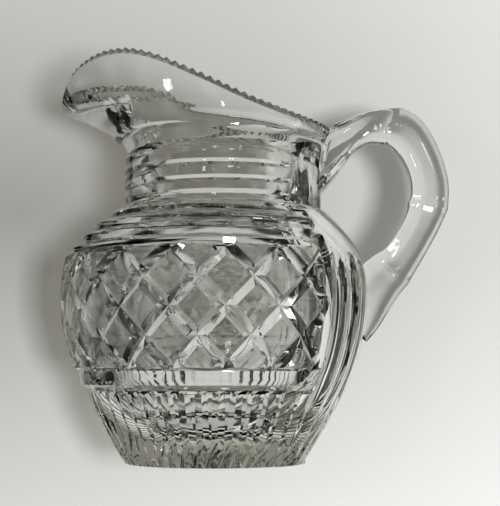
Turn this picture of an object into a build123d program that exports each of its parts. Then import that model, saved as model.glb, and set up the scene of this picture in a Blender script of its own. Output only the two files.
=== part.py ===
"""Cut glass cream jug: a blown and cut body with one applied, hot joined handle.

Millimetres, +Z up. The origin is the centre of the resting face. The spout
points to -X and the handle to +X.
"""

import os
from math import cos, radians, sin

from build123d import *

os.makedirs("parts", exist_ok=True)

# belly, turned about the upright axis
base_radius = 22.4
base_bevel = 0.8
belly_radius = 39.0
belly_widest_z = 42.0
shoulder_radius = 30.8
shoulder_z = 60.6
neck_root_z = 63.8

# neck, leaning a little to the handle side
neck_shift = 2.2
neck_radius = 25.2
neck_bore = 18.4
mouth_start_z = 78.0
mouth_wall = 3.4

# hollow
floor_z = 8.8
belly_bore = 32.4

# cut field: it leaves a plain panel of this half angle under the handle
panel_half_angle = 40.0
wheel_lead = 20.0
run_out = 16.0

# diamond band
diamonds_around = 18
band_bottom_z = 23.4
band_top_z = 51.0
mitre_depth = 1.9
mitre_half_width = 1.75

# flutes of the foot, and broad flutes down the plain panel
flute_count = 37
flute_depth = 0.75
flute_half_width = 1.5
panel_flute_radius = 7.5
panel_flute_depth = 0.6
panel_flute_step = 10.0
edge_depth = 1.2
edge_half_width = 1.3

# crescent cuts across the throat, under the lip
throat_wheel_radius = 22.0
throat_depth = 1.4
throat_half_width = 1.3

# notched rim
notch_count = 70
notch_depth = 0.85
notch_half_width = 0.8
notch_over = 0.5

# handle
handle_half_width = 5.5


def oval(half, side, point, turn):
    """Point of an oval at an angle; point > 0.5 sharpens the spout end."""
    across = abs(sin(radians(turn))) ** (2 * point if cos(radians(turn)) < 0 else 1.0)
    return half * cos(radians(turn)), side * across * (1 if turn % 360 <= 180 else -1)


def mouth_section(front, back, side, point):
    """Plane and outline of one tilted section of the mouth, front and back as (x, z)."""
    length = ((back[0] - front[0]) ** 2 + (back[1] - front[1]) ** 2) ** 0.5
    plane = Plane(
        origin=((front[0] + back[0]) / 2, 0, (front[1] + back[1]) / 2),
        x_dir=(back[0] - front[0], 0, back[1] - front[1]),
        z_dir=(front[1] - back[1], 0, back[0] - front[0]),
    )
    outline = [oval(length / 2, side, point, 30 * step) for step in range(12)]
    return plane, outline


# outer sections of neck and mouth: front (x, z), back (x, z), half width, point
left = neck_shift - neck_radius
right = neck_shift + neck_radius
outer_sections = [
    ((left, 60.0), (right, 60.0), neck_radius, 0.5),
    ((left, 64.5), (right, 64.5), neck_radius, 0.5),
    ((left, 69.0), (right, 69.0), neck_radius, 0.5),
    ((left, 73.5), (right, 73.5), neck_radius, 0.5),
    ((left - 0.4, mouth_start_z), (right + 0.6, mouth_start_z), neck_radius + 0.1, 0.5),
    ((-26.6, 83.2), (29.4, 80.4), 25.8, 0.52),
    ((-33.4, 87.0), (30.6, 82.8), 26.6, 0.58),
    ((-39.6, 90.2), (31.6, 85.4), 27.4, 0.64),
    ((-42.4, 97.5), (32.8, 90.0), 28.2, 0.70),
    ((-44.4, 107.0), (34.0, 95.0), 28.8, 0.74),
]

# rim as seen from the side, from the lip over the crest down to the handle
rim_line = [
    (-45.6, 86.0),
    (-39.8, 91.0),
    (-35.2, 96.6),
    (-28.2, 99.7),
    (-20.6, 100.3),
    (-12.4, 98.4),
    (-0.6, 93.4),
    (11.0, 88.4),
    (22.9, 84.9),
    (34.0, 83.6),
]

with BuildPart() as blank:
    with BuildSketch(Plane.XZ):
        with BuildLine():
            Polyline((0, 0), (base_radius, 0), (base_radius + base_bevel, base_bevel))
            belly_side = Spline(
                (base_radius + base_bevel, base_bevel),
                (30.0, 12.0),
                (36.0, 25.0),
                (belly_radius, belly_widest_z),
                (36.5, 53.0),
                (shoulder_radius, shoulder_z),
                (27.2, neck_root_z),
            )
            Polyline((27.2, neck_root_z), (0, neck_root_z), (0, 0))
        make_face()
    revolve(axis=Axis.Z)

with BuildPart() as mouth:
    for front, back, side, point in outer_sections:
        plane, outline = mouth_section(front, back, side, point)
        with BuildSketch(plane):
            with BuildLine():
                Spline(*outline, periodic=True)
            make_face()
    loft()

with BuildPart() as rim_cutter:
    with BuildSketch(Plane.XZ):
        with BuildLine():
            rim_side = Spline(*rim_line)
            Polyline(rim_line[-1], (60, 90), (60, 130), (-60, 130), (-60, 86), rim_line[0])
        make_face()
    extrude(amount=60, both=True)

# hollow: the mouth part follows the outer sections at the wall thickness
bore_left = neck_shift - neck_bore
bore_right = neck_shift + neck_bore
inner_sections = [
    ((bore_left, 62.0), (bore_right, 62.0), neck_bore, 0.5),
    ((bore_left, 66.5), (bore_right, 66.5), neck_bore, 0.5),
    ((bore_left, 71.0), (bore_right, 71.0), neck_bore, 0.5),
    ((bore_left - 0.6, 75.5), (bore_right + 0.8, 75.5), neck_bore + 0.6, 0.5),
]
for front, back, side, point in outer_sections[5:]:
    inner_sections.append(
        ((front[0] + mouth_wall, front[1] + 1.6), (back[0] - mouth_wall, back[1]), side - mouth_wall, point)
    )

with BuildPart() as mouth_hollow:
    for front, back, side, point in inner_sections:
        plane, outline = mouth_section(front, back, side, point)
        with BuildSketch(plane):
            with BuildLine():
                Spline(*outline, periodic=True)
            make_face()
    loft()

with BuildPart() as belly_hollow:
    with BuildSketch(Plane.XZ):
        with BuildLine():
            Line((0, floor_z), (12, floor_z))
            Spline(
                (12, floor_z),
                (24.0, 14.0),
                (30.6, 26.0),
                (belly_bore, belly_widest_z - 2),
                (30.0, 51.0),
                (22.0, 60.5),
                (16.6, 66.0),
                tangents=((1, 0.05), (-0.5, 1)),
            )
            Polyline((16.6, 66.0), (0, 66.0), (0, floor_z))
        make_face()
    revolve(axis=Axis.Z)

# wheel cuts of the belly: one outline for bands, grooves and shoulder steps
belly_cut = [
    (base_radius - 0.5, -1.0),
    (22.6, 0.8),
    (25.5, 5.8),
    (28.5, 11.2),
    (30.2, 15.0),
    (31.0, 17.2),
    (30.5, 18.0),
    (33.1, 19.3),
    (33.6, 23.6),
    (33.0, 24.4),
    (35.4, 26.2),
    (37.4, 31.5),
    (38.5, 37.5),
    (38.6, 43.0),
    (38.0, 48.0),
    (37.5, 50.6),
    (36.0, 51.3),
    (36.1, 52.7),
    (33.4, 53.9),
    (33.3, 55.8),
    (30.7, 57.1),
    (30.3, 58.9),
    (26.8, 60.5),
    (26.4, 61.6),
    (24.4, 63.2),
]

# rings of the neck, measured from the neck's own axis
neck_cut = [
    (24.5, 63.1),
    (25.0, 65.0),
    (24.1, 66.5),
    (25.0, 68.2),
    (24.1, 70.5),
    (25.0, 72.1),
    (24.1, 74.8),
    (25.0, 76.6),
    (24.4, 78.6),
    (25.6, 79.8),
]

cut_start = panel_half_angle + wheel_lead
cut_arc = 360 - 2 * cut_start


def wheel_cut(outline, reach):
    """Outline turned through the cut arc, run out along the tangent at both ends."""
    with BuildPart() as cutter:
        start = Plane(origin=(0, 0, 0), x_dir=(cos(radians(cut_start)), sin(radians(cut_start)), 0),
                      z_dir=(sin(radians(cut_start)), -cos(radians(cut_start)), 0))
        with BuildSketch(start):
            with BuildLine():
                Polyline(*outline, (reach, outline[-1][1]), (reach, outline[0][1]), close=True)
            make_face()
        revolve(axis=Axis.Z, revolution_arc=cut_arc)
        for turn, way in ((cut_start, 1), (-cut_start, -1)):
            end = Plane(origin=(0, 0, 0), x_dir=(cos(radians(turn)), sin(radians(turn)), 0),
                        z_dir=(sin(radians(turn)), -cos(radians(turn)), 0))
            with BuildSketch(end):
                with BuildLine():
                    Polyline(*outline, (reach, outline[-1][1]), (reach, outline[0][1]), close=True)
                make_face()
            extrude(amount=way * run_out)
    return cutter.part


belly_wheel = wheel_cut(belly_cut, 52)
neck_wheel = wheel_cut(neck_cut, 40)


def field_point(turn, z):
    """Point of the cut belly surface at an angle and a height."""
    for lower, upper in zip(belly_cut, belly_cut[1:]):
        if lower[1] <= z <= upper[1]:
            share = (z - lower[1]) / (upper[1] - lower[1])
            radius = lower[0] + share * (upper[0] - lower[0])
            return Vector(radius * cos(radians(turn)), radius * sin(radians(turn)), z)


def mitre(first_row, last_row):
    """V cut that climbs one row for every half diamond it goes round."""
    half_step = 180 / diamonds_around
    row = (band_top_z - band_bottom_z) / 4
    over = 1.2
    with BuildPart() as cutter:
        for station in range(first_row, last_row + 1):
            turn = half_step * station
            z = band_bottom_z + row * station
            here = field_point(turn, z)
            along = field_point(turn + half_step / 8, z + row / 8) - field_point(turn - half_step / 8, z - row / 8)
            around = field_point(turn + 1, z) - field_point(turn - 1, z)
            outward = around.cross(field_point(turn, z + 0.8) - field_point(turn, z - 0.8))
            along, outward = along.normalized(), outward.normalized()
            wide = mitre_half_width * (mitre_depth + over) / mitre_depth
            with BuildSketch(Plane(origin=here, x_dir=outward.cross(along), z_dir=along)):
                with BuildLine():
                    Polyline((0, -mitre_depth), (wide, over), (-wide, over), close=True)
                make_face()
        loft(ruled=True)
    return cutter.part


full_mitre = mitre(0, 4)
upper_mitre = mitre(2, 4)
lower_mitre = mitre(0, 2)
column_pitch = 360 / diamonds_around
columns = round((360 - 2 * panel_half_angle) / column_pitch)

with BuildPart() as mitres:
    with PolarLocations(0, columns - 1, panel_half_angle, column_pitch * (columns - 1)):
        add(full_mitre)
    with PolarLocations(0, 1, panel_half_angle - column_pitch):
        add(upper_mitre)
    with PolarLocations(0, 1, -panel_half_angle - column_pitch):
        add(lower_mitre)

# upright mitre that closes the cut field on each side of the panel
with BuildPart() as edge_mitre:
    for share in range(10):
        here = belly_side @ (0.3 + 0.055 * share)
        along = belly_side % (0.3 + 0.055 * share)
        wide = edge_half_width * (edge_depth + 1.2) / edge_depth
        with BuildSketch(Plane(origin=(here.X, 0, here.Y), x_dir=(0, 1, 0), z_dir=(along.X, 0, along.Y))):
            with BuildLine():
                Polyline((0, edge_depth), (wide, -1.2), (-wide, -1.2), close=True)
            make_face()
    loft(ruled=True)

# broad flute down the panel: a round wheel that follows the belly and lifts off at the top
with BuildPart() as panel_flute:
    with BuildLine() as wheel_path:
        places = []
        for share, lift in ((0.02, 0.0), (0.2, 0.0), (0.35, 0.0), (0.5, 0.0), (0.62, 0.1), (0.72, 0.7), (0.8, 2.2)):
            here, along = belly_side @ share, belly_side % share
            reach = panel_flute_radius - panel_flute_depth + lift
            places.append((here.X + along.Y * reach, 0, here.Y - along.X * reach))
        Spline(*places)
    with BuildSketch(Plane(origin=wheel_path.line @ 0, z_dir=wheel_path.line % 0)):
        Circle(panel_flute_radius)
    sweep(path=wheel_path.line)

# two crescents on each side of the throat: a V wheel pressed against the flare,
# as (middle of the cut), (outward direction there), (direction of the cut)
crescents = [
    ((-22.3, 14.9, 84.5), (-0.60, 0.43, -0.68), (0.6, 16.8, 13.0)),
    ((-18.9, 18.3, 84.0), (-0.51, 0.61, -0.61), (4.1, 15.1, 14.0)),
]
with BuildPart() as throat_cuts:
    for middle, outward, along in crescents:
        for side in (1, -1):
            out = Vector(outward[0], side * outward[1], outward[2]).normalized()
            axle = out.cross(Vector(along[0], side * along[1], along[2])).normalized()
            centre = Vector(middle[0], side * middle[1], middle[2]) + out * (throat_wheel_radius - throat_depth)
            wheel_axis = Axis(centre, axle)
            start = (out * -1).rotate(wheel_axis, -35)
            with BuildSketch(Plane(origin=centre, x_dir=start, z_dir=start.cross(axle))):
                with BuildLine():
                    back = throat_wheel_radius - 2 * throat_depth
                    Polyline(
                        (throat_wheel_radius, 0),
                        (back, 2 * throat_half_width),
                        (back, -2 * throat_half_width),
                        close=True,
                    )
                make_face()
            revolve(axis=wheel_axis, revolution_arc=70)

# V nicks across the wall, all round the rim
mid_front, mid_back, mid_side = -38.2, 29.8, 25.6


def rim_z(x):
    """Height of the rim over a point between lip and handle, found by halving."""
    low, high = 0.0, 1.0
    for _ in range(30):
        middle = (low + high) / 2
        low, high = (middle, high) if (rim_side @ middle).X < x else (low, middle)
    return (rim_side @ low).Y


with BuildPart() as nicks:
    for index in range(notch_count):
        turn = 360 * (index + 0.5) / notch_count
        half = (mid_back - mid_front) / 2
        x, y = oval(half, mid_side, 0.6, turn)
        x = x + (mid_back + mid_front) / 2
        outward = Vector(cos(radians(turn)) / half, sin(radians(turn)) / mid_side, 0)
        with BuildSketch(Plane(origin=(x, y, rim_z(x)), x_dir=(0, 0, 1), z_dir=outward)):
            with BuildLine():
                wide = notch_half_width * (notch_depth + notch_over) / notch_depth
                Polyline((-notch_depth, 0), (notch_over, wide), (notch_over, -wide), close=True)
            make_face()
        extrude(amount=4.0, both=True)

# comb of flutes on the foot, along the chord of the fluted outline
flute_top = (31.1, 17.3)
flute_foot = (22.1, -0.4)
with BuildPart() as flute:
    slope = Vector(flute_top[0] - flute_foot[0], 0, flute_top[1] - flute_foot[1])
    with BuildSketch(Plane(origin=(flute_foot[0], 0, flute_foot[1]), x_dir=(0, 1, 0), z_dir=slope)):
        with BuildLine():
            Polyline((0, flute_depth), (flute_half_width, -1.0), (-flute_half_width, -1.0), close=True)
        make_face()
    extrude(amount=slope.length)

# handle: (outer x, z), (inner x, z), half width
w = handle_half_width
handle_sections = [
    ((28.6, 84.2), (26.0, 66.6), w + 1.3),
    ((34.8, 86.6), (31.0, 72.4), w + 0.8),
    ((41.0, 88.4), (37.0, 79.6), w + 0.1),
    ((47.4, 88.7), (42.8, 80.8), w),
    ((52.6, 86.0), (46.8, 78.0), w),
    ((56.8, 79.0), (49.4, 73.6), w),
    ((59.3, 70.0), (50.4, 68.4), w),
    ((58.6, 62.4), (49.8, 64.2), w),
    ((55.6, 55.6), (47.9, 59.3), w),
    ((50.6, 47.2), (43.6, 53.0), w),
    ((45.6, 40.0), (37.5, 48.5), w - 0.4),
    ((41.6, 33.6), (34.0, 41.0), w - 2.2),
    ((38.6, 30.0), (33.0, 34.0), 1.0),
]
with BuildPart() as handle:
    for outer, inner, half_width in handle_sections:
        across = Vector(outer[0] - inner[0], 0, outer[1] - inner[1])
        middle = ((outer[0] + inner[0]) / 2, 0, (outer[1] + inner[1]) / 2)
        tall = across.length / 2
        with BuildSketch(Plane(origin=middle, x_dir=across, z_dir=across.cross(Vector(0, 1, 0)))):
            with BuildLine():
                Polyline(
                    (tall, 0.5 * half_width),
                    (0.3 * tall, half_width),
                    (-0.6 * tall, half_width * 0.92),
                    (-tall, half_width * 0.55),
                    (-tall, -half_width * 0.55),
                    (-0.6 * tall, -half_width * 0.92),
                    (0.3 * tall, -half_width),
                    (tall, -0.5 * half_width),
                    close=True,
                )
            make_face()
    loft(ruled=True)
    add(blank.part, mode=Mode.SUBTRACT)
    add(mouth.part, mode=Mode.SUBTRACT)

with BuildPart() as body:
    add(blank.part)
    add(mouth.part)
    add(rim_cutter.part, mode=Mode.SUBTRACT)
    add(belly_hollow.part, mode=Mode.SUBTRACT)
    add(mouth_hollow.part, mode=Mode.SUBTRACT)
    add(belly_wheel, mode=Mode.SUBTRACT)
    add(neck_wheel.moved(Location((neck_shift, 0, 0))), mode=Mode.SUBTRACT)
    add(mitres.part, mode=Mode.SUBTRACT)
    add(mirror(mitres.part, about=Plane.XZ, mode=Mode.PRIVATE), mode=Mode.SUBTRACT)
    field = 360 - 2 * panel_half_angle
    with PolarLocations(0, flute_count, panel_half_angle + field / flute_count / 2, field):
        add(flute.part, mode=Mode.SUBTRACT)
    with PolarLocations(0, 2, panel_half_angle, 2 * field):
        add(edge_mitre.part, mode=Mode.SUBTRACT)
    for side in (1, -1):
        with PolarLocations(0, 3, side * 1.5 * panel_flute_step, side * 3 * panel_flute_step):
            add(panel_flute.part, mode=Mode.SUBTRACT)
    add(throat_cuts.part, mode=Mode.SUBTRACT)
    add(nicks.part, mode=Mode.SUBTRACT)
    # where two nicks meet, a crumb of the crest can come loose: the jug is the one large solid
    add(body.part.solids().sort_by(SortBy.VOLUME)[-1], mode=Mode.REPLACE)
body.part.label = "body"
export_step(body.part, "parts/body.step", write_pcurves=False)
handle.part.label = "handle"
export_step(handle.part, "parts/handle.step", write_pcurves=False)
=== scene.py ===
# %% [markdown]
# A cut glass cream jug. It is two pieces of lead glass: a heavy blown body that was
# cut on stone wheels, and a strap handle that was stuck on hot and then flat cut.
# Each piece is one closed surface built from formulas, because light crosses glass
# many times and every crossing needs a true wall, inside as well as outside.

import bpy
import numpy as np
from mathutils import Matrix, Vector


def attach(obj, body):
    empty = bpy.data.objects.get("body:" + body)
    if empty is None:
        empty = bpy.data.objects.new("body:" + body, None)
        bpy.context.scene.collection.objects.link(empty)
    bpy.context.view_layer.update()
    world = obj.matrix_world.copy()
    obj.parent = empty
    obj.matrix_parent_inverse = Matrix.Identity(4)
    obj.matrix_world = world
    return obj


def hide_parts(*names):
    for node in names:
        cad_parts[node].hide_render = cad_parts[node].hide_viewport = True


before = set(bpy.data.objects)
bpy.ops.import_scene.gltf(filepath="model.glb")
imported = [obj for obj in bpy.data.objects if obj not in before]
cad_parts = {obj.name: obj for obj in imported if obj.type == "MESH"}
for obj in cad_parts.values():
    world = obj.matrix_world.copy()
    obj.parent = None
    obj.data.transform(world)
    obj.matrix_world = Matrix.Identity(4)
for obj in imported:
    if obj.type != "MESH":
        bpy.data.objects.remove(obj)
MM = 0.001
bpy.context.scene.view_settings.view_transform = "Standard"
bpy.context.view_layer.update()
print("frame nodes:", sorted(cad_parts))

# %% [markdown]
# Small helpers. A profile on the real jug is a smooth line that the blower or the
# cutter followed, so each one is a few points and a curve through them.


# %% Helpers
def curve_through(knots, count):
    """Catmull-Rom curve: rows of knots in, evenly parted rows out, knots kept as guides."""
    knots = np.asarray(knots, float)
    padded = np.vstack([2 * knots[0] - knots[1], knots, 2 * knots[-1] - knots[-2]])
    t = np.linspace(0, len(knots) - 1, count)
    i = np.minimum(t.astype(int), len(knots) - 2)
    f = (t - i)[:, None]
    a, b, c, d = padded[i], padded[i + 1], padded[i + 2], padded[i + 3]
    return 0.5 * (2 * b + (c - a) * f + (2 * a - 5 * b + 4 * c - d) * f**2 + (3 * b - a - 3 * c + d) * f**3)


def at_height(knots, z, column=0):
    """Value of one column of a table sorted by its last column, at heights z."""
    table = np.asarray(knots, float)
    return np.interp(z, table[:, -1], table[:, column])


def smooth_step(x):
    """0 below 0, 1 above 1, and a soft S between."""
    x = np.clip(x, 0, 1)
    return x * x * (3 - 2 * x)


class Surface:
    """Collects rings of points and the triangles between them into one closed mesh."""

    def __init__(self):
        self.points, self.faces, self.total = [], [], 0

    def add(self, xyz):
        xyz = np.asarray(xyz, float).reshape(-1, 3)
        first = self.total
        self.points.append(xyz)
        self.total += len(xyz)
        return first + np.arange(len(xyz))

    def triangles(self, tri):
        self.faces.append(np.asarray(tri, int).reshape(-1, 3))

    def strip(self, low, high, wrap=True):
        """Quads between two rings with the same count, split into triangles."""
        a, b = low, high
        a2 = np.roll(a, -1) if wrap else a[1:]
        b2 = np.roll(b, -1) if wrap else b[1:]
        if not wrap:
            a, b = a[:-1], b[:-1]
        self.triangles(np.vstack([np.stack([a, a2, b2], 1), np.stack([a, b2, b], 1)]))

    def grid(self, rings, wrap=True):
        for low, high in zip(rings, rings[1:]):
            self.strip(low, high, wrap)

    def zip(self, low, low_turn, high, high_turn):
        """Triangles between two rings with different counts, walked round by their angles."""
        lo_next = np.append(low_turn[1:], low_turn[0] + 360)
        hi_next = np.append(high_turn[1:], high_turn[0] + 360)
        lo_time = (low_turn + lo_next) / 2
        hi_time = (high_turn + hi_next) / 2
        hi_at = np.searchsorted(hi_time, lo_time) % len(high)
        lo_at = np.searchsorted(lo_time, hi_time, side="right") % len(low)
        self.triangles(np.stack([low, np.roll(low, -1), high[hi_at]], 1))
        self.triangles(np.stack([low[lo_at], np.roll(high, -1), high], 1))

    def build(self, name):
        xyz = np.vstack(self.points) * MM
        tri = np.vstack(self.faces)
        mesh = bpy.data.meshes.new(name)
        mesh.vertices.add(len(xyz))
        mesh.vertices.foreach_set("co", xyz.ravel())
        mesh.loops.add(tri.size)
        mesh.loops.foreach_set("vertex_index", tri.ravel().astype(np.int32))
        mesh.polygons.add(len(tri))
        mesh.polygons.foreach_set("loop_start", np.arange(0, tri.size, 3, dtype=np.int32))
        mesh.update(calc_edges=True)
        mesh.validate()
        obj = bpy.data.objects.new(name, mesh)
        bpy.context.scene.collection.objects.link(obj)
        return obj


def check_closed(obj):
    """Counts edges that don't have exactly two faces, and the volume in ml."""
    mesh = obj.data
    tri = np.empty(len(mesh.loops), np.int64)
    mesh.loops.foreach_get("vertex_index", tri)
    tri = tri.reshape(-1, 3)
    edges = np.vstack([tri[:, [0, 1]], tri[:, [1, 2]], tri[:, [2, 0]]])
    key = np.sort(edges, 1)
    _, counts = np.unique(key[:, 0] * len(mesh.vertices) + key[:, 1], return_counts=True)
    xyz = np.empty(len(mesh.vertices) * 3)
    mesh.vertices.foreach_get("co", xyz)
    a, b, c = (xyz.reshape(-1, 3)[tri[:, k]] for k in range(3))
    volume = np.einsum("ij,ij->i", a, np.cross(b, c)).sum() / 6
    print(obj.name, "triangles", len(tri), "open edges", int((counts != 2).sum()),
          "volume ml", round(volume * 1e6, 2))


# %% [markdown]
# Sizes of the cut field. The cutter left a plain panel of 40 degrees on each side
# of the handle. All wheel work stops at its edge.

# %% Field
PANEL = 40.0
COLUMNS, ROWS = 14, 2
PITCH = 20.0
BAND_LOW, BAND_HIGH = 23.4, 51.0
HATCH = 12
GROOVE = 0.185
MITRE_DEPTH, HATCH_DEPTH = 1.9, 0.125
cell = np.concatenate([[0], GROOVE + (1 - 2 * GROOVE) * np.arange(2 * HATCH + 1) / (2 * HATCH)])
FINE = len(cell)
print("positions across one diamond:", FINE, "from", cell[0], "to", round(cell[-1], 3))

# %% [markdown]
# The wheel outline of the belly and the smooth outline of the blown blank, as
# (radius, height). The deeper line is what the wheel left. The outer one shows in
# the plain panel.

# %% Outlines
blank_line = curve_through(
    [(23.2, 0.8), (26.4, 5.8), (30.0, 12.0), (33.4, 18.5), (36.0, 25.0), (38.1, 33.0), (39.0, 42.0),
     (38.4, 48.0), (36.5, 53.0), (33.9, 57.0), (30.8, 60.6), (27.4, 63.9)], 120)
belly_cut = np.array([
    (22.6, 0.8), (25.5, 5.8), (28.5, 11.2), (30.2, 15.0), (31.0, 17.2), (30.5, 18.0), (33.1, 19.3),
    (33.6, 23.0), (33.4, 23.4), (35.4, 26.2), (37.4, 31.5), (38.5, 37.5), (38.6, 43.0), (38.0, 48.0),
    (37.5, 51.0), (36.0, 51.5), (36.1, 52.7), (33.4, 53.9), (33.3, 55.8), (30.7, 57.1), (30.3, 58.9),
    (26.8, 60.5), (26.4, 61.6), (24.4, 63.2)])
field_line = curve_through(
    [(35.0, 23.4), (36.4, 28.0), (38.0, 34.5), (38.6, 40.5), (38.3, 46.0), (37.4, 51.0)], 60)
widest = blank_line[blank_line[:, 0].argmax()]
print("blank widest", widest[0].round(2), "at", widest[1].round(1))

# %% [markdown]
# Ways round the jug. The foot is sampled in step with its flutes, the belly in step
# with its diamonds and the neck in step with the notches of the rim, so that each
# crease of the cutting lies on a line of points.

# %% Turns
FLUTES = 37
flute_pitch = (360 - 2 * PANEL) / FLUTES
panel_turns = np.arange(-PANEL, PANEL, 1.0) + 360
column_places = np.repeat(np.arange(COLUMNS), FINE) + np.tile(cell, COLUMNS)
belly_turns = np.concatenate([PANEL + PITCH * column_places, panel_turns])
print("points round the belly:", len(belly_turns))


def run_out(turns, cut, blank):
    """Radius where a wheel cut meets the blank: the cut leaves along its tangent."""
    past = np.abs((turns - 180 + 180) % 360 - 180) - (180 - PANEL - 20.0)
    lead = np.radians(np.clip(past, 0, 70))
    inside = (np.abs((turns + 180) % 360 - 180) < PANEL)
    return np.where(inside, blank, np.minimum(blank, cut / np.cos(lead)))


def turned(turns, radius, z, shift=0.0):
    """Points of one ring, angles in degrees; shift moves its centre to the handle side."""
    t = np.radians(turns)
    return np.stack([shift + radius * np.cos(t), radius * np.sin(t), np.broadcast_to(z, t.shape)], 1)


def panel_flutes(turns, z):
    """Depth of the tall flutes ground into the plain panel, three on each side of the handle."""
    away = (turns + 180) % 360 - 180
    across = (np.abs(away) - 15) / 10
    near = across - np.round(across)
    depth = 0.62 * (1 - (near * 2.2) ** 2)
    allowed = (np.abs(across) < 2.5) & (np.abs(away) > 10) & (np.abs(away) < PANEL)
    ends = smooth_step((51.5 - z) / 5) * smooth_step((z - 1.0) / 4)
    return np.where(allowed, np.clip(depth - 0.62 * (1 - ends), 0, None), 0)


def edge_cut(turns):
    """Depth of the upright mitre that closes the cut field on each side of the panel."""
    past = np.abs((turns + 180) % 360 - 180) - PANEL
    wide = np.where(past > 0, PITCH * GROOVE, 2.2)
    return 1.3 * np.clip(1 - np.abs(past) / wide, 0, 1)


def blank_radius(z):
    return at_height(blank_line, z)


# %% [markdown]
# Foot. A comb of V flutes, cut straight from the foot ring to the notch under the
# plain band. The wheel leaves less flat between them towards the narrow foot.

# %% Foot
body = Surface()


def foot_ring(z, cut, depth, share):
    """One ring of the foot: flat, flute edge, flute bottom, flute edge, 37 times."""
    centres = PANEL + flute_pitch * (np.arange(FLUTES) + 0.5)
    steps = np.array([-0.5, -share / 2, 0.0, share / 2])
    cut_turns = (centres[:, None] + steps * flute_pitch).ravel()
    turns = np.concatenate([cut_turns, panel_turns[::2]])
    deep = np.concatenate([np.tile([0, 0, depth, 0], FLUTES), np.zeros(len(panel_turns[::2]))])
    radius = run_out(turns, cut, blank_radius(z)) - deep
    radius = radius - panel_flutes(turns, z)
    return turns, radius


foot_rows = [(0.8, 0.55, 0.98), (3.0, 0.75, 0.93), (5.8, 0.95, 0.88), (8.5, 1.05, 0.84), (11.2, 1.05, 0.8),
             (13.4, 0.95, 0.78), (15.0, 0.8, 0.76), (16.4, 0.7, 0.74), (17.2, 0.6, 0.7)]
foot_rings = []
for z, depth, share in foot_rows:
    foot_turns, radius = foot_ring(z, at_height(belly_cut, z), depth, share)
    foot_rings.append(body.add(turned(foot_turns, radius, z)))
_, radius = foot_ring(0.0, 22.0, 0.3, 0.98)
sole = [body.add(turned(foot_turns, radius, 0.0))]
for r in (19.0, 15.0, 10.0, 5.0, 1.5):
    sole.append(body.add(turned(foot_turns, r, 0.0)))
centre = body.add([[0, 0, 0]])
body.grid(sole[::-1] + foot_rings)
inner_ring = sole[-1]
body.triangles(np.stack([np.full(len(inner_ring), centre[0]), np.roll(inner_ring, -1), inner_ring], 1))
print("foot points", body.total)

# %% [markdown]
# Plain band between foot and diamonds, polished, with a grey mitre line.

# %% Band
band_rows = [(18.0, 30.5), (19.3, 33.1), (20.6, 33.35), (21.6, 33.5), (22.6, 33.55), (23.0, 33.3)]
band_rings = []
for z, cut in band_rows[:2]:
    radius = run_out(foot_turns, cut, blank_radius(z)) - panel_flutes(foot_turns, z)
    band_rings.append(body.add(turned(foot_turns, radius, z)))
body.grid([foot_rings[-1]] + band_rings)
upper_band = []
for z, cut in band_rows[2:]:
    radius = run_out(belly_turns, cut, blank_radius(z)) - panel_flutes(belly_turns, z)
    upper_band.append(body.add(turned(belly_turns, radius, z)))
body.zip(band_rings[-1], foot_turns, upper_band[0], belly_turns)
body.grid(upper_band)

# %% [markdown]
# Diamonds. Two families of V mitres cross at a slant and leave lozenges. Each
# lozenge is cross cut with a fine wheel into rows of tiny points. A lattice with
# one axis along each family puts every mitre, every ridge and every fine valley on
# a grid line, so the cut edges are exact.

# %% Diamonds
steps = np.arange(-ROWS * FINE, (COLUMNS + ROWS) * FINE + 1)
lattice = steps // FINE + cell[steps % FINE]
P, Q = np.meshgrid(lattice, lattice, indexing="ij")
I, J = np.meshgrid(steps, steps, indexing="ij")
across = (P + Q) / 2
up = (Q - P) / 2
keep = (across > -1e-6) & (across < COLUMNS + 1e-6) & (up > -1e-6) & (up < ROWS + 1e-6)


def cut_depth(fine_index, value):
    """Depth of a mitre or hatch cut for one lattice axis: 0 on a ridge line."""
    s = np.mod(value, 1.0)
    edge = np.minimum(s, 1 - s)
    mitre = MITRE_DEPTH * np.clip(1 - edge / GROOVE, 0, 1)
    k = np.mod(fine_index, FINE) - 1
    hatch = np.where((k > 0) & (k % 2 == 1), HATCH_DEPTH, 0)
    return mitre, hatch


mitre_p, hatch_p = cut_depth(I, P)
mitre_q, hatch_q = cut_depth(J, Q)
mitre = np.maximum(mitre_p, mitre_q)
turn = PANEL + PITCH * across
depth = np.where(mitre > 1e-6, mitre, np.maximum(hatch_p, hatch_q))
depth = np.maximum(depth, edge_cut(turn))
z = BAND_LOW + (BAND_HIGH - BAND_LOW) * up / ROWS
slope = np.gradient(field_line[:, 0], field_line[:, 1])
lean = np.arctan(np.interp(z, field_line[:, 1], slope))
radius = run_out(turn, at_height(field_line, z), blank_radius(z)) - depth * np.cos(lean)
height = z + depth * np.sin(lean)
t = np.radians(turn)
field_xyz = np.stack([radius * np.cos(t), radius * np.sin(t), height], -1)
number = np.full(P.shape, -1)
number[keep] = body.add(field_xyz[keep])

# each fine quad splits along the diagonal with the larger drop, which keeps the points sharp;
# on the borders only half of a quad lies inside
a, b, c, d = number[:-1, :-1], number[1:, :-1], number[1:, 1:], number[:-1, 1:]
whole = (a >= 0) & (b >= 0) & (c >= 0) & (d >= 0)
drop_ac = np.abs(depth[:-1, :-1] - depth[1:, 1:])
drop_bd = np.abs(depth[1:, :-1] - depth[:-1, 1:])
first = whole & (drop_ac >= drop_bd)
second = whole & ~first
for part, corners in ((first, (a, b, c)), (first, (a, c, d)), (second, (a, b, d)), (second, (b, c, d))):
    body.triangles(np.stack([corner[part] for corner in corners], 1))
for corners, missing in (((b, c, d), a), ((a, c, d), b), ((a, b, d), c), ((a, b, c), d)):
    half = (missing < 0) & (corners[0] >= 0) & (corners[1] >= 0) & (corners[2] >= 0)
    body.triangles(np.stack([corner[half] for corner in corners], 1))
print("diamond points", int(keep.sum()))

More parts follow.
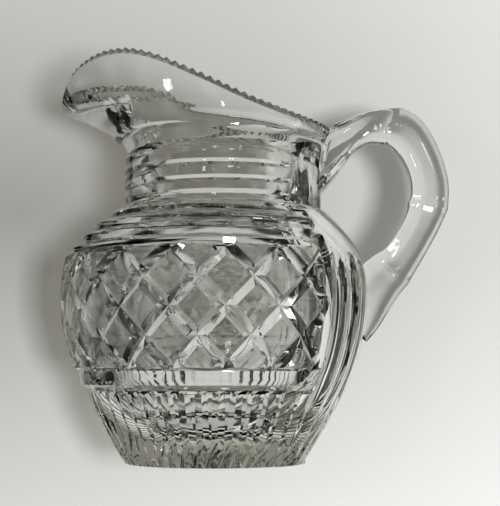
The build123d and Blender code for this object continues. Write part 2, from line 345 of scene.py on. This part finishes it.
# %% [markdown]
# Plain panel beside the diamonds. Its outer columns are the border points of the
# diamond field, so both are one skin.

# %% Panel
def border(value, target, along):
    """Numbers of the kept lattice points on one border, in order along it."""
    on = keep & (np.abs(value - target) < 1e-6)
    return number[on][np.argsort(along[on])]


bottom, top = border(up, 0, across), border(up, ROWS, across)
near_edge, far_edge = border(across, 0, up), border(across, COLUMNS, up)
ups = np.sort(up[keep & (np.abs(across) < 1e-6)])
inner_turns = panel_turns[1:]
panel_rows = []
for share in ups:
    z = BAND_LOW + (BAND_HIGH - BAND_LOW) * share / ROWS
    radius = blank_radius(z) - panel_flutes(inner_turns, z) - edge_cut(inner_turns)
    panel_rows.append(body.add(turned(inner_turns, radius, z)))
skin_rows = [np.concatenate([[far], row, [near]]) for far, row, near in zip(far_edge, panel_rows, near_edge)]
body.grid(skin_rows, wrap=False)
low_ring = np.concatenate([bottom, panel_rows[0]])
top_ring = np.concatenate([top, panel_rows[-1]])
body.strip(upper_band[-1], low_ring)

# %% [markdown]
# Shoulder. Steep steps were cut with a flat wheel, and each one runs out in a long
# point beside the panel because the wheel left along its tangent.

# %% Shoulder
NECK_SHIFT = 2.2


def shift_at(z):
    """The neck leans to the handle side; the lean starts in the shoulder."""
    return NECK_SHIFT * smooth_step((np.asarray(z, float) - 58.5) / 5.4)


shoulder_z = [51.5, 52.1, 52.7, 53.3, 53.9, 54.8, 55.8, 56.4, 57.1, 58.0, 58.9, 59.7, 60.5, 61.0, 61.6, 62.4]
shoulder = [top_ring]
for z in shoulder_z:
    shift = float(shift_at(z))
    radius = run_out(belly_turns, at_height(belly_cut, z) + shift, blank_radius(z) - shift)
    radius = radius - edge_cut(belly_turns) * smooth_step((56 - z) / 4)
    shoulder.append(body.add(turned(belly_turns, radius, z, shift)))
body.grid(shoulder)

# %% [markdown]
# Neck and mouth. The mouth was pulled open while hot: round at the neck, then wider
# towards the spout, then pointed. Sections across it lie on planes that tilt more
# and more towards the lip.

# %% Mouth
N_LEFT, N_RIGHT = NECK_SHIFT - 25.2, NECK_SHIFT + 25.2
# front x, front z, back x, back z, half width, point
outer_sections = np.array([
    (N_LEFT, 69.0, N_RIGHT, 69.0, 25.2, 0.5), (N_LEFT, 73.5, N_RIGHT, 73.5, 25.2, 0.5),
    (N_LEFT - 0.4, 78.0, N_RIGHT + 0.6, 78.0, 25.3, 0.5), (-26.6, 83.2, 29.4, 80.4, 25.8, 0.52),
    (-33.4, 87.0, 30.6, 82.8, 26.6, 0.58), (-39.6, 90.2, 31.6, 85.4, 27.4, 0.64),
    (-42.4, 97.5, 32.8, 90.0, 28.2, 0.70), (-44.4, 107.0, 34.0, 95.0, 28.8, 0.74)])
WALL = 3.4
inner_sections = np.vstack([
    [(NECK_SHIFT - 18.4, 71.0, NECK_SHIFT + 18.4, 71.0, 18.4, 0.5),
     (NECK_SHIFT - 19.0, 75.5, NECK_SHIFT + 19.2, 75.5, 19.0, 0.5)],
    outer_sections[3:] + [WALL, 1.6, -WALL, 0, -WALL, 0]])
rim_side = np.array([
    (-45.6, 86.0), (-39.8, 91.0), (-35.2, 96.6), (-28.2, 99.7), (-20.6, 100.3), (-12.4, 98.4),
    (-0.6, 93.4), (11.0, 88.4), (22.9, 84.9), (34.0, 83.6)])
rim_curve = curve_through(rim_side, 400)


def rim_height(x):
    return np.interp(x, rim_curve[:, 0], rim_curve[:, 1])


def section_values(table, t):
    """Section measures at place t, counted in sections, by a Catmull-Rom curve."""
    padded = np.vstack([2 * table[0] - table[1], table, 2 * table[-1] - table[-2]])
    i = np.clip(t.astype(int), 0, len(table) - 2)
    f = (t - i)[:, None]
    a, b, c, d = padded[i], padded[i + 1], padded[i + 2], padded[i + 3]
    return 0.5 * (2 * b + (c - a) * f + (2 * a - 5 * b + 4 * c - d) * f**2 + (3 * b - a - 3 * c + d) * f**3)


def mouth_point(table, turns, t):
    """Point of the mouth: an oval on a tilted plane, sharpened towards the spout."""
    fx, fz, bx, bz, side, point = section_values(table, t).T
    cos_t, sin_t = np.cos(np.radians(turns)), np.sin(np.radians(turns))
    power = np.where(cos_t < 0, 1 + (2 * point - 1) * smooth_step(-cos_t * 2), 1.0)
    y = side * np.sign(sin_t) * np.abs(sin_t) ** power
    return np.stack([(fx + bx) / 2 + (bx - fx) / 2 * cos_t, y, (fz + bz) / 2 + (bz - fz) / 2 * cos_t], 1)


def place_for(table, turns, goal):
    """Place t on each meridian where goal(point) turns from negative to positive, by halving."""
    low, high = np.zeros(len(turns)), np.full(len(turns), len(table) - 1.001)
    for _ in range(30):
        middle = (low + high) / 2
        above = goal(mouth_point(table, turns, middle)) > 0
        low, high = np.where(above, low, middle), np.where(above, middle, high)
    return (low + high) / 2


dense = np.linspace(0, 360, 3000)
rim_t = place_for(outer_sections, dense, lambda p: p[:, 2] - rim_height(p[:, 0]))
rim_xyz = mouth_point(outer_sections, dense, rim_t)
length = np.concatenate([[0], np.cumsum(np.linalg.norm(np.diff(rim_xyz, axis=0), axis=1))])
NOTCHES = round(length[-1] / 2.35)
NICK_OUT, NICK_IN = 1.0, 0.5
BEVEL_DOWN, BEVEL_IN = 1.9, 0.4
NOTCH_STEPS = 4
marks = np.arange(NOTCHES * NOTCH_STEPS) / (NOTCHES * NOTCH_STEPS) * length[-1]
neck_turns = np.interp(marks, length, dense)
print("rim length mm", round(length[-1], 1), "notches", NOTCHES,
      "peak", rim_xyz[:, 2].max().round(2), "lip x", rim_xyz[:, 0].min().round(2))

# flat bands parted by V grooves, as (radius from the neck's own axis, height)
neck_cut = np.array([
    (24.5, 63.1), (24.1, 64.6), (24.9, 65.6), (24.95, 67.4), (23.9, 68.3), (24.95, 69.0), (24.95, 71.2),
    (23.9, 72.2), (24.95, 72.9), (24.95, 75.8), (23.9, 77.9), (24.3, 78.4), (25.7, 80.8)])
neck_heights = (63.1, 63.9, 64.6, 65.1, 65.6, 66.5, 67.4, 67.9, 68.3, 68.65, 69.0, 70.1, 71.2, 71.7, 72.2,
                72.55, 72.9, 74.3, 75.8, 76.5, 77.2, 77.9, 78.4, 79.2, 80.0)
neck_rings = []
for z in neck_heights:
    if z < 74:
        blank_here = np.full(len(neck_turns), 25.2)
    else:
        z_t = place_for(outer_sections, neck_turns, lambda p: p[:, 2] - z)
        p = mouth_point(outer_sections, neck_turns, z_t)
        blank_here = np.hypot(p[:, 0] - NECK_SHIFT, p[:, 1])
    radius = run_out(neck_turns, at_height(neck_cut, z), blank_here)
    neck_rings.append(body.add(turned(neck_turns, radius, z, NECK_SHIFT)))
order = np.argsort(np.mod(belly_turns, 360))
body.zip(shoulder[-1][order], np.mod(belly_turns, 360)[order], neck_rings[0], neck_turns)
body.grid(neck_rings)

# %% [markdown]
# Throat. Two crescents cross each flank of the throat, where a V wheel was pressed
# against the flare. A point of the skin inside the wheel moves out along the wheel's
# spoke until it lies on the V: radius minus distance from the wheel's middle plane
# times depth over half width.

# %% Throat
THROAT_WHEEL, THROAT_DEPTH, THROAT_HALF = 22.0, 0.7, 1.1
crescents = [((-22.3, 14.9, 84.5), (-0.60, 0.43, -0.68), (0.6, 16.8, 13.0)),
             ((-18.9, 18.3, 84.0), (-0.51, 0.61, -0.61), (4.1, 15.1, 14.0))]


def throat_cut(xyz):
    """Skin of the mouth with the crescents cut in."""
    xyz = xyz.copy()
    for middle, outward, along in crescents:
        for side in (1, -1):
            flip = np.array([1, side, 1])
            out = np.array(outward) * flip / np.linalg.norm(outward)
            axle = np.cross(out, np.array(along) * flip)
            axle /= np.linalg.norm(axle)
            spoke = xyz - (np.array(middle) * flip + out * (THROAT_WHEEL - THROAT_DEPTH))
            off = spoke @ axle
            spoke -= off[:, None] * axle
            reach = np.linalg.norm(spoke, axis=1)
            depth = np.clip(THROAT_WHEEL - np.abs(off) * THROAT_DEPTH / THROAT_HALF - reach, 0, None)
            depth = np.where(spoke @ -out > 0.8 * reach, depth, 0)
            xyz += spoke / reach[:, None] * depth[:, None]
    return xyz


# %% [markdown]
# Rim. The cutter bevelled the outside of the edge and nicked it all round, so the top
# is a row of small notches that cross the bevel and the wall. The rings of the bevel
# are kept by number, because this skin was left matt from the stone and is painted grey as shade.

# %% Rim
notch_shape = np.array([0.0, 0.45, 1.0, 0.45])
nick = NICK_OUT * np.tile(notch_shape, NOTCHES)
inner_nick = NICK_IN * np.tile(notch_shape, NOTCHES)
edge_t = place_for(outer_sections, neck_turns, lambda p: p[:, 2] - (rim_height(p[:, 0]) - nick))
start_t = place_for(outer_sections, neck_turns, lambda p: p[:, 2] - 80.0)
bevel_t = place_for(outer_sections, neck_turns, lambda p: p[:, 2] - (rim_height(p[:, 0]) - BEVEL_DOWN))
mouth_rings = [neck_rings[-1]]
for share in np.linspace(0, 1, 33)[1:]:
    place = mouth_point(outer_sections, neck_turns, start_t + (bevel_t - start_t) * share)
    if share < 0.1:
        # the topmost ring cut dies out over the first rows of the flare
        blank_here = np.hypot(place[:, 0] - NECK_SHIFT, place[:, 1])
        cut = run_out(neck_turns, at_height(neck_cut, place[:, 2]), blank_here)
        place = turned(neck_turns, cut, place[:, 2], NECK_SHIFT)
    mouth_rings.append(body.add(throat_cut(place)))
inner_edge_t = place_for(inner_sections, neck_turns, lambda p: p[:, 2] - (rim_height(p[:, 0]) - inner_nick))
outer_edge = mouth_point(outer_sections, neck_turns, edge_t)
inner_edge = mouth_point(inner_sections, neck_turns, inner_edge_t)
bevel_foot = mouth_point(outer_sections, neck_turns, bevel_t)
bevel_top = outer_edge + (inner_edge - outer_edge) * BEVEL_IN
mouth_rings.append(body.add(bevel_foot + (bevel_top - bevel_foot) * 0.5))
for share in (0.0, 0.45):
    mouth_rings.append(body.add(bevel_top + (inner_edge - bevel_top) * share))
bevel_rings = np.concatenate(mouth_rings[-3:])
print("wall at the rim mm", np.linalg.norm(outer_edge - inner_edge, axis=1).min().round(2),
      np.linalg.norm(outer_edge - inner_edge, axis=1).max().round(2))
for share in np.linspace(0, 1, 21):
    place = mouth_point(inner_sections, neck_turns, inner_edge_t + (1.0 - inner_edge_t) * share)
    mouth_rings.append(body.add(place))
body.grid(mouth_rings)

# %% [markdown]
# Inside. The blower's shape is smooth, and the wall is thickest at the foot, where
# the glass was gathered. This closes the body, and its points then get a bevel mask
# value, which is 1 on the bevel of the rim and 0 elsewhere: matt skin and painted grey shade.

# %% Inside
# radius, height, shift to the handle side
hollow = curve_through(
    [(19.0, 75.5, 2.2), (18.4, 71.5, 2.2), (18.4, 67.5, 2.1), (19.4, 64.0, 1.7), (21.6, 61.2, 1.0),
     (25.8, 57.0, 0.4), (29.9, 51.0, 0.0), (31.9, 45.0, 0.0), (32.4, 39.0, 0.0), (31.8, 32.0, 0.0),
     (30.3, 25.5, 0.0), (27.6, 19.6, 0.0), (23.8, 14.2, 0.0), (19.2, 10.8, 0.0), (14.5, 9.3, 0.0),
     (10.0, 8.85, 0.0), (5.0, 8.75, 0.0), (1.5, 8.75, 0.0)], 74)
bore_turns = np.arange(0, 360, 2.25)
bore_rings = [body.add(turned(bore_turns, r, z, shift)) for r, z, shift in hollow[1:]]
flip_low, flip_high = mouth_rings[-1], bore_rings[0]
body.zip(flip_low, neck_turns, flip_high, bore_turns)
body.grid(bore_rings)
floor_centre = body.add([[0, 0, 8.75]])
last = bore_rings[-1]
body.triangles(np.stack([last, np.roll(last, -1), np.full(len(last), floor_centre[0])], 1))
jug = body.build("cut_glass_body")
check_closed(jug)
# mask of the rim bevel: matt skin and painted grey shade
ground_and_painted_shade = np.zeros(body.total, np.float32)
ground_and_painted_shade[bevel_rings] = 1.0
jug.data.attributes.new("ground_and_painted_shade", "FLOAT", "POINT").data.foreach_set("value", ground_and_painted_shade)
print("points on the ground bevel", int(ground_and_painted_shade.sum()))

# %% [markdown]
# Handle. A strap of hot glass, stuck on under the rim, bent over and pressed onto
# the belly, where it was drawn out to a point. It was then cut flat on the wheel:
# one broad facet outside, one on each shoulder and softer sides within.

# %% Handle
W = 5.5
# outer x, outer z, inner x, inner z, half width
handle_knots = np.array([
    (28.6, 84.2, 26.0, 66.6, 6.8), (34.8, 86.6, 31.0, 72.4, 6.3), (41.0, 88.4, 37.0, 79.6, 5.6),
    (47.4, 88.7, 42.8, 80.8, W), (52.6, 86.0, 46.8, 78.0, W), (56.8, 79.0, 49.4, 73.6, W),
    (59.3, 70.0, 50.4, 68.4, W), (58.6, 62.4, 49.8, 64.2, W), (55.6, 55.6, 47.9, 59.3, W),
    (50.6, 47.2, 43.6, 53.0, W), (45.6, 40.0, 37.5, 48.5, 5.1), (41.6, 33.6, 34.0, 41.0, 3.3),
    (38.6, 30.0, 33.0, 34.0, 1.0)])
rows = curve_through(handle_knots, 201)
loop_angle = -np.radians(np.arange(48) * 7.5 + 3.75)
SQUARE = 2 / 3.4
loop_x = np.sign(np.cos(loop_angle)) * np.abs(np.cos(loop_angle)) ** SQUARE
loop_y = np.sign(np.sin(loop_angle)) * np.abs(np.sin(loop_angle)) ** SQUARE * (0.93 - 0.07 * loop_x)
FLAT = 0.94
loop = np.stack([np.minimum(loop_x, FLAT) / FLAT, loop_y], 1)
strap = Surface()
middle = (rows[:, :2] + rows[:, 2:4]) / 2
tall = (rows[:, :2] - rows[:, 2:4]) / 2
# the cutting wheel was set down anew at three places, and each left a low crest
crests = np.array([(47.4, 88.7), (58.8, 63.2), (48.6, 44.4)])
along = np.concatenate([[0], np.cumsum(np.linalg.norm(np.diff(rows[:, :2], axis=0), axis=1))])
crest_at = along[np.linalg.norm(rows[:, None, :2] - crests, axis=2).argmin(0)]
crest = (0.38 * np.exp(-np.abs(along[:, None] - crest_at) / 1.8)).sum(1)
size = np.linalg.norm(tall, axis=1)
tall *= (1 + crest / size)[:, None]
rows[:, 4] += crest
print("handle length along its outside mm", along[-1].round(1), "crests at", crest_at.round(1))
# at the root the soft gather was pressed on with a tool, which left lengthwise folds
fold = 0.55 * smooth_step(1 - along[:, None] / 17) * np.cos(9 * loop_angle)[None, :]
x = middle[:, None, 0] + tall[:, None, 0] * loop[None, :, 0]
z = middle[:, None, 1] + tall[:, None, 1] * loop[None, :, 0]
y = (rows[:, None, 4] + fold) * loop[None, :, 1]
strap_xyz = np.stack([x, y, z], -1)
# sink the two ends a hair into the body's skin and no deeper
away = np.hypot(strap_xyz[..., 0], strap_xyz[..., 1])
skin = blank_radius(strap_xyz[..., 2]) - 0.3
push = np.where(strap_xyz[..., 2] < 60, np.maximum(skin / np.maximum(away, 1e-6), 1), 1)
strap_xyz[..., :2] *= push[..., None]
neck_away = np.hypot(strap_xyz[..., 0] - NECK_SHIFT, strap_xyz[..., 1])
turns_there = np.degrees(np.arctan2(strap_xyz[..., 1], strap_xyz[..., 0] - NECK_SHIFT))
neck_skin = 25.2 + np.interp(strap_xyz[..., 2], [76, 78, 80.4, 82.8, 85.4], [0, 0.6, 2.0, 3.2, 4.2]) - 0.35
neck_push = np.where(strap_xyz[..., 2] > 62, np.maximum(neck_skin / neck_away, 1), 1)
strap_xyz[..., 0] = NECK_SHIFT + (strap_xyz[..., 0] - NECK_SHIFT) * neck_push
strap_xyz[..., 1] *= neck_push
strap_rings = [strap.add(ring) for ring in strap_xyz]
strap.grid(strap_rings)
for ring, xyz, flip in ((strap_rings[0], strap_xyz[0], False), (strap_rings[-1], strap_xyz[-1], True)):
    cap = strap.add([xyz.mean(0)])
    pair = (ring, np.roll(ring, -1)) if not flip else (np.roll(ring, -1), ring)
    strap.triangles(np.stack([np.full(len(ring), cap[0]), pair[1], pair[0]], 1))
handle = strap.build("applied_handle")
check_closed(handle)

for piece, angle in ((jug, 22), (handle, 18)):
    piece.data.shade_smooth()
    piece.data.set_sharp_from_angle(angle=np.radians(angle))

# %% [markdown]
# Glass. Old lead glass is clear with a faint olive grey tint, and its faces carry
# fine polishing waves. The bevel of the rim is matt, as the stone left it, and painted grey as shade.

# %% Glass
def glass(name, tint, wave, roughest, shade):
    """Clear lead glass: full transmission, a faint tint, fine polishing waves.

    Where the point attribute of the bevel is 1 the skin is half matt, as left from the
    stone, and painted a dark grey as shade. shade is the share of lamp light that one wall lets on to the
    sheet.
    """
    material = bpy.data.materials.new(name)
    material.use_nodes = True
    nodes, links = material.node_tree.nodes, material.node_tree.links
    nodes.clear()
    out = nodes.new("ShaderNodeOutputMaterial")
    shader = nodes.new("ShaderNodeBsdfPrincipled")
    shader.inputs["Metallic"].default_value = 0.0
    shader.inputs["Transmission Weight"].default_value = 1.0
    shader.inputs["IOR"].default_value = 1.54
    coords = nodes.new("ShaderNodeTexCoord")
    waves = nodes.new("ShaderNodeTexNoise")
    waves.inputs["Scale"].default_value = 70.0
    waves.inputs["Detail"].default_value = 3.0
    bump = nodes.new("ShaderNodeBump")
    bump.inputs["Strength"].default_value = wave
    bump.inputs["Distance"].default_value = 0.0006
    tone = nodes.new("ShaderNodeTexNoise")
    tone.inputs["Scale"].default_value = 22.0
    ramp = nodes.new("ShaderNodeMix")
    ramp.data_type = "RGBA"
    ramp.inputs["A"].default_value = tint
    ramp.inputs["B"].default_value = tuple(min(channel * 1.02, 1) for channel in tint[:3]) + (1,)
    rough = nodes.new("ShaderNodeMapRange")
    rough.inputs["To Min"].default_value = 0.0
    rough.inputs["To Max"].default_value = roughest
    for texture in (waves, tone):
        links.new(coords.outputs["Object"], texture.inputs["Vector"])
    links.new(waves.outputs["Fac"], bump.inputs["Height"])
    links.new(tone.outputs["Fac"], ramp.inputs["Factor"])
    links.new(tone.outputs["Fac"], rough.inputs["Value"])
    # stone ground skin: matt, with the grain of the stone; its dark grey colour is painted shade
    ground_and_painted_shade = nodes.new("ShaderNodeAttribute")
    ground_and_painted_shade.attribute_name = "ground_and_painted_shade"
    grain = nodes.new("ShaderNodeTexNoise")
    grain.inputs["Scale"].default_value = 650.0
    links.new(coords.outputs["Object"], grain.inputs["Vector"])
    matt = nodes.new("ShaderNodeMapRange")
    matt.inputs["To Min"].default_value = 0.0
    matt.inputs["To Max"].default_value = 0.55
    links.new(grain.outputs["Fac"], matt.inputs["Value"])
    gloss = nodes.new("ShaderNodeMix")
    links.new(ground_and_painted_shade.outputs["Fac"], gloss.inputs["Factor"])
    links.new(rough.outputs["Result"], gloss.inputs["A"])
    links.new(matt.outputs["Result"], gloss.inputs["B"])
    links.new(gloss.outputs["Result"], shader.inputs["Roughness"])
    # painted shade: the bevel's colour is a dark grey
    skin = nodes.new("ShaderNodeMix")
    skin.data_type = "RGBA"
    skin.inputs["B"].default_value = (0.36, 0.36, 0.33, 1)
    links.new(ground_and_painted_shade.outputs["Fac"], skin.inputs["Factor"])
    links.new(ramp.outputs["Result"], skin.inputs["A"])
    links.new(skin.outputs["Result"], shader.inputs["Base Color"])
    links.new(bump.outputs["Normal"], shader.inputs["Normal"])
    # light that crosses the glass still reaches the sheet, as a softened shadow
    path = nodes.new("ShaderNodeLightPath")
    either = nodes.new("ShaderNodeMath")
    either.operation = "MAXIMUM"
    clear = nodes.new("ShaderNodeBsdfTransparent")
    clear.inputs["Color"].default_value = (shade, shade, shade * 0.97, 1)
    depth = nodes.new("ShaderNodeVolumeAbsorption")
    depth.inputs["Color"].default_value = (0.50, 0.50, 0.34, 1)
    depth.inputs["Density"].default_value = 9.0
    links.new(depth.outputs["Volume"], out.inputs["Volume"])
    mix = nodes.new("ShaderNodeMixShader")
    links.new(path.outputs["Is Shadow Ray"], either.inputs[0])
    links.new(path.outputs["Is Diffuse Ray"], either.inputs[1])
    links.new(either.outputs["Value"], mix.inputs["Fac"])
    links.new(shader.outputs["BSDF"], mix.inputs[1])
    links.new(clear.outputs["BSDF"], mix.inputs[2])
    links.new(mix.outputs["Shader"], out.inputs["Surface"])
    return material


jug.data.materials.append(glass("body_glass", (0.985, 0.985, 0.975, 1), 0.12, 0.02, 0.76))
handle.data.materials.append(glass("handle_glass", (0.98, 0.98, 0.97, 1), 0.25, 0.02, 0.50))

for piece, node, slot in ((jug, "body", "body_glass"), (handle, "handle", "handle_glass")):
    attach(piece, "root")
    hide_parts(node)

# %% [markdown]
# Stage. The photograph looks down on a jug that lies on a pale sheet, so there is no
# floor line under it: the sheet is an upright plane close behind the jug. Its back is
# open to view, so the jug can be looked at from every side.

# %% Stage
SHEET_Y = 43.0


def sheet():
    """Slightly wavy upright sheet behind the jug, facing the camera."""
    across, up = np.meshgrid(np.linspace(-80, 102, 56), np.linspace(-26, 140, 46))
    wave = 0.8 * np.sin(across / 31 + up / 47) + 0.6 * np.sin(across / 53 - up / 29 + 1)
    points = np.stack([across, SHEET_Y + wave, up], -1).reshape(-1, 3) * MM
    rows, columns = across.shape
    corner = (np.arange(rows - 1)[:, None] * columns + np.arange(columns - 1)).ravel()
    quads = np.stack([corner, corner + 1, corner + columns + 1, corner + columns], 1)
    mesh = bpy.data.meshes.new("sheet")
    mesh.from_pydata(points.tolist(), [], quads.tolist())
    obj = bpy.data.objects.new("sheet", mesh)
    bpy.context.scene.collection.objects.link(obj)
    mesh.shade_smooth()
    return obj


def paper_material():
    """Matt paper with faint fibres, a soft mottle and painted shade left of the jug; its back lets
    everything through.
    """
    material = bpy.data.materials.new("paper")
    material.use_nodes = True
    nodes, links = material.node_tree.nodes, material.node_tree.links
    shader = nodes["Principled BSDF"]
    shader.inputs["Roughness"].default_value = 0.9
    coords = nodes.new("ShaderNodeTexCoord")
    stretch = nodes.new("ShaderNodeMapping")
    stretch.inputs["Scale"].default_value = (1.0, 1.0, 2.5)
    fibre = nodes.new("ShaderNodeTexNoise")
    fibre.inputs["Scale"].default_value = 900.0
    fibre.inputs["Detail"].default_value = 4.0
    mottle = nodes.new("ShaderNodeTexNoise")
    mottle.inputs["Scale"].default_value = 14.0
    both = nodes.new("ShaderNodeMix")
    both.inputs["Factor"].default_value = 0.3
    tone = nodes.new("ShaderNodeMix")
    tone.data_type = "RGBA"
    tone.inputs["A"].default_value = (0.93, 0.925, 0.91, 1)
    tone.inputs["B"].default_value = (1.0, 1.0, 1.0, 1)
    # painted shade and light: the sheet's colour is darkest to the left of the jug, where its shadow falls,
    # and paler to the right and below, where the light is strongest
    place = nodes.new("ShaderNodeMapping")
    place.vector_type = "TEXTURE"
    place.inputs["Location"].default_value = (-0.061, 0.0, 0.070)
    place.inputs["Scale"].default_value = (0.274, 1000.0, 0.125)
    painted_shade_ball = nodes.new("ShaderNodeTexGradient")
    painted_shade_ball.gradient_type = "SPHERICAL"
    painted_shade_fade = nodes.new("ShaderNodeMix")
    painted_shade_fade.data_type = "RGBA"
    painted_shade_fade.inputs["A"].default_value = (0.86, 0.855, 0.85, 1)
    painted_shade_fade.inputs["B"].default_value = (0.37, 0.362, 0.35, 1)
    tint = nodes.new("ShaderNodeMix")
    tint.data_type = "RGBA"
    tint.blend_type = "MULTIPLY"
    tint.inputs["Factor"].default_value = 1.0
    links.new(coords.outputs["Object"], place.inputs["Vector"])
    links.new(place.outputs["Vector"], painted_shade_ball.inputs["Vector"])
    links.new(painted_shade_ball.outputs["Fac"], painted_shade_fade.inputs["Factor"])
    links.new(painted_shade_fade.outputs["Result"], tint.inputs["A"])
    links.new(tone.outputs["Result"], tint.inputs["B"])
    bump = nodes.new("ShaderNodeBump")
    bump.inputs["Strength"].default_value = 0.15
    bump.inputs["Distance"].default_value = 0.0002
    links.new(coords.outputs["Object"], stretch.inputs["Vector"])
    links.new(stretch.outputs["Vector"], fibre.inputs["Vector"])
    links.new(coords.outputs["Object"], mottle.inputs["Vector"])
    links.new(mottle.outputs["Fac"], both.inputs["A"])
    links.new(fibre.outputs["Fac"], both.inputs["B"])
    links.new(both.outputs["Result"], tone.inputs["Factor"])
    links.new(fibre.outputs["Fac"], bump.inputs["Height"])
    links.new(tint.outputs["Result"], shader.inputs["Base Color"])
    links.new(bump.outputs["Normal"], shader.inputs["Normal"])
    side = nodes.new("ShaderNodeNewGeometry")
    clear = nodes.new("ShaderNodeBsdfTransparent")
    mix = nodes.new("ShaderNodeMixShader")
    links.new(side.outputs["Backfacing"], mix.inputs["Fac"])
    links.new(shader.outputs["BSDF"], mix.inputs[1])
    links.new(clear.outputs["BSDF"], mix.inputs[2])
    links.new(mix.outputs["Shader"], nodes["Material Output"].inputs["Surface"])
    return material


floor = sheet()
floor.data.materials.append(paper_material())

# %% [markdown]
# Light. The soft shadows lie to the upper left of the rim and of the handle, so the
# main light comes from the lower right in front. Small windows give the square
# glints on the neck, and the dim, uneven room gives the cut faces their darks.

# %% Light
def panel(name, place, aim, size, power, tone=(1, 1, 1)):
    """Area light at a place in mm, turned to face a point in mm."""
    lamp = bpy.data.lights.new(name, "AREA")
    lamp.shape = "RECTANGLE"
    lamp.size, lamp.size_y = size[0] * MM, size[1] * MM
    lamp.energy = power
    lamp.color = tone
    obj = bpy.data.objects.new(name, lamp)
    obj.location = Vector(place) * MM
    obj.rotation_euler = (Vector(aim) - Vector(place)).to_track_quat("-Z", "Y").to_euler()
    bpy.context.scene.collection.objects.link(obj)
    return obj


panel("window", (122, -400, 8), (20, 40, 45), (56, 56), 1.95)
panel("far_window", (-142, -400, 60), (0, 0, 60), (30, 50), 0.08)
panel("side", (300, -90, 0), (70, 43, 10), (130, 130), 0.12)

world = bpy.data.worlds.new("room")
bpy.context.scene.world = world
world.use_nodes = True
room_nodes, room_links = world.node_tree.nodes, world.node_tree.links
room_coords = room_nodes.new("ShaderNodeTexCoord")
room_patches = room_nodes.new("ShaderNodeTexNoise")
room_patches.inputs["Scale"].default_value = 1.9
room_patches.inputs["Detail"].default_value = 1.0
room_ramp = room_nodes.new("ShaderNodeValToRGB")
room_ramp.color_ramp.elements[0].position = 0.47
room_ramp.color_ramp.elements[0].color = (0.01, 0.01, 0.01, 1)
room_ramp.color_ramp.elements[1].position = 0.59
room_ramp.color_ramp.elements[1].color = (0.48, 0.48, 0.465, 1)
room_links.new(room_coords.outputs["Generated"], room_patches.inputs["Vector"])
room_links.new(room_patches.outputs["Fac"], room_ramp.inputs["Fac"])
room_links.new(room_ramp.outputs["Color"], room_nodes["Background"].inputs["Color"])

# %% [markdown]
# Camera. The rings look straight at one height low on the jug, so the lens is at
# that height and the picture is tilted up a little.

# %% Camera
camera = bpy.data.cameras.new("camera")
camera_object = bpy.data.objects.new("camera", camera)
bpy.context.scene.collection.objects.link(camera_object)
bpy.context.scene.camera = camera_object
camera.sensor_fit = "HORIZONTAL"
camera.sensor_width = 36.0
FOCAL_PX = 1221.0
camera.lens = FOCAL_PX / 500 * 36.0
azimuth, distance, eye = np.radians(6.0), 310.0, 21.0
camera_object.location = Vector((distance * np.sin(azimuth), -distance * np.cos(azimuth), eye)) * MM
tilt = np.arctan((378 - 253) / FOCAL_PX)
yaw = np.arctan((250 - 213.5) / FOCAL_PX)
camera_object.rotation_euler = (np.pi / 2 + tilt, 0, azimuth - yaw)
camera.clip_start = 0.01
